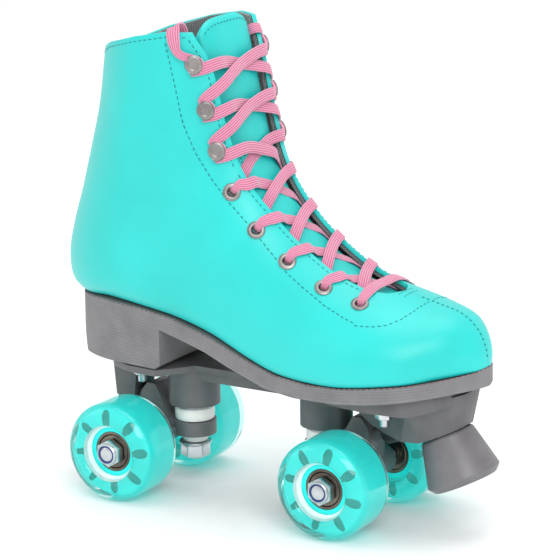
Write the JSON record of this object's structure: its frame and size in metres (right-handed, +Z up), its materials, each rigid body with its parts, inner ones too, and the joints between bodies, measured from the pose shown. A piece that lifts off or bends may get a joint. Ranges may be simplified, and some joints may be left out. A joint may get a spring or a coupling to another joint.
{
  "type": "quad roller skate",
  "caption": "Laced high-top roller skate boot on a base plate with sprung steering trucks, free-turning wheels and a toe stop.",
  "frame": {"origin": "on the floor under the middle of the skate's bounding box", "axes": "+X to the toe, +Y to the left side of the skate, +Z up"},
  "size_m": [0.2596, 0.1022, 0.2621],
  "materials": {
    "upper": "smooth coated turquoise synthetic leather",
    "lining": "dark grey woven lining",
    "insole": "dark foam footbed",
    "board": "pressed fibre board",
    "outsole": "mid grey moulded rubber, fine horizontal grooves",
    "lace": "pink flat woven lace",
    "plate": "dark grey glass-filled nylon",
    "hanger": "dark grey powder-coated casting",
    "stop": "grey moulded rubber",
    "steel": "zinc-plated steel",
    "bearing": "ground steel with shields",
    "cushion": "white polyurethane",
    "nylon": "dark nylon",
    "hub": "turquoise nylon core",
    "tyre": "clear, lightly tinted cast polyurethane"
  },
  "bodies": {
    "chassis": {"upper_right": "upper", "upper_left": "upper", "boot_lining": "lining", "tongue": "upper", "insole_board": "board", "insole": "insole", "outsole": "outsole", "lace": "lace", "base_plate": "plate", "rear_left_mount_bolt": "steel", "rear_left_mount_nut": "steel", "rear_right_mount_bolt": "steel", "rear_right_mount_nut": "steel", "front_left_mount_bolt": "steel", "front_left_mount_nut": "steel", "front_right_mount_bolt": "steel", "front_right_mount_nut": "steel", "toe_stop": "stop", "toe_stop_bolt": "steel", "front_kingpin": "steel", "front_upper_washer": "steel", "front_upper_cushion": "cushion", "front_lower_cushion": "cushion", "front_lower_washer": "steel", "front_kingpin_nut": "steel", "front_pivot_cup": "nylon", "rear_kingpin": "steel", "rear_upper_washer": "steel", "rear_upper_cushion": "cushion", "rear_lower_cushion": "cushion", "rear_lower_washer": "steel", "rear_kingpin_nut": "steel", "rear_pivot_cup": "nylon"},
    "front_truck": {"front_hanger": "hanger", "front_axle": "steel", "front_left_axle_nut": "steel", "front_right_axle_nut": "steel"},
    "rear_truck": {"rear_hanger": "hanger", "rear_axle": "steel", "rear_left_axle_nut": "steel", "rear_right_axle_nut": "steel"},
    "front_left_wheel": {"front_left_tyre": "tyre", "front_left_hub": "hub", "front_left_bearing_outboard": "bearing", "front_left_bearing_inboard": "bearing"},
    "front_right_wheel": {"front_right_tyre": "tyre", "front_right_hub": "hub", "front_right_bearing_outboard": "bearing", "front_right_bearing_inboard": "bearing"},
    "rear_left_wheel": {"rear_left_tyre": "tyre", "rear_left_hub": "hub", "rear_left_bearing_outboard": "bearing", "rear_left_bearing_inboard": "bearing"},
    "rear_right_wheel": {"rear_right_tyre": "tyre", "rear_right_hub": "hub", "rear_right_bearing_outboard": "bearing", "rear_right_bearing_inboard": "bearing"}
  },
  "joints": [
    {"name": "front_truck_lean", "type": "hinge", "parent": "chassis", "child": "front_truck", "pos_m": [0.02928, 0, 0.034], "axis": [0.9339, 0, 0.3574], "range_deg": [-8, 8], "stiffness_Nm_per_rad": 40, "deforming": ["front_upper_cushion", "front_lower_cushion"]},
    {"name": "rear_truck_lean", "type": "hinge", "parent": "chassis", "child": "rear_truck", "pos_m": [-0.05372, 0, 0.034], "axis": [-0.9339, 0, 0.3574], "range_deg": [-8, 8], "stiffness_Nm_per_rad": 40, "deforming": ["rear_upper_cushion", "rear_lower_cushion"]},
    {"name": "front_left_wheel_turn", "type": "hinge", "parent": "front_truck", "child": "front_left_wheel", "pos_m": [0.05348, 0.0348, 0.027], "axis": [0, 1, 0], "continuous": true},
    {"name": "front_right_wheel_turn", "type": "hinge", "parent": "front_truck", "child": "front_right_wheel", "pos_m": [0.05348, -0.0348, 0.027], "axis": [0, 1, 0], "continuous": true},
    {"name": "rear_left_wheel_turn", "type": "hinge", "parent": "rear_truck", "child": "rear_left_wheel", "pos_m": [-0.07792, 0.0348, 0.027], "axis": [0, 1, 0], "continuous": true},
    {"name": "rear_right_wheel_turn", "type": "hinge", "parent": "rear_truck", "child": "rear_right_wheel", "pos_m": [-0.07792, -0.0348, 0.027], "axis": [0, 1, 0], "continuous": true}
  ]
}
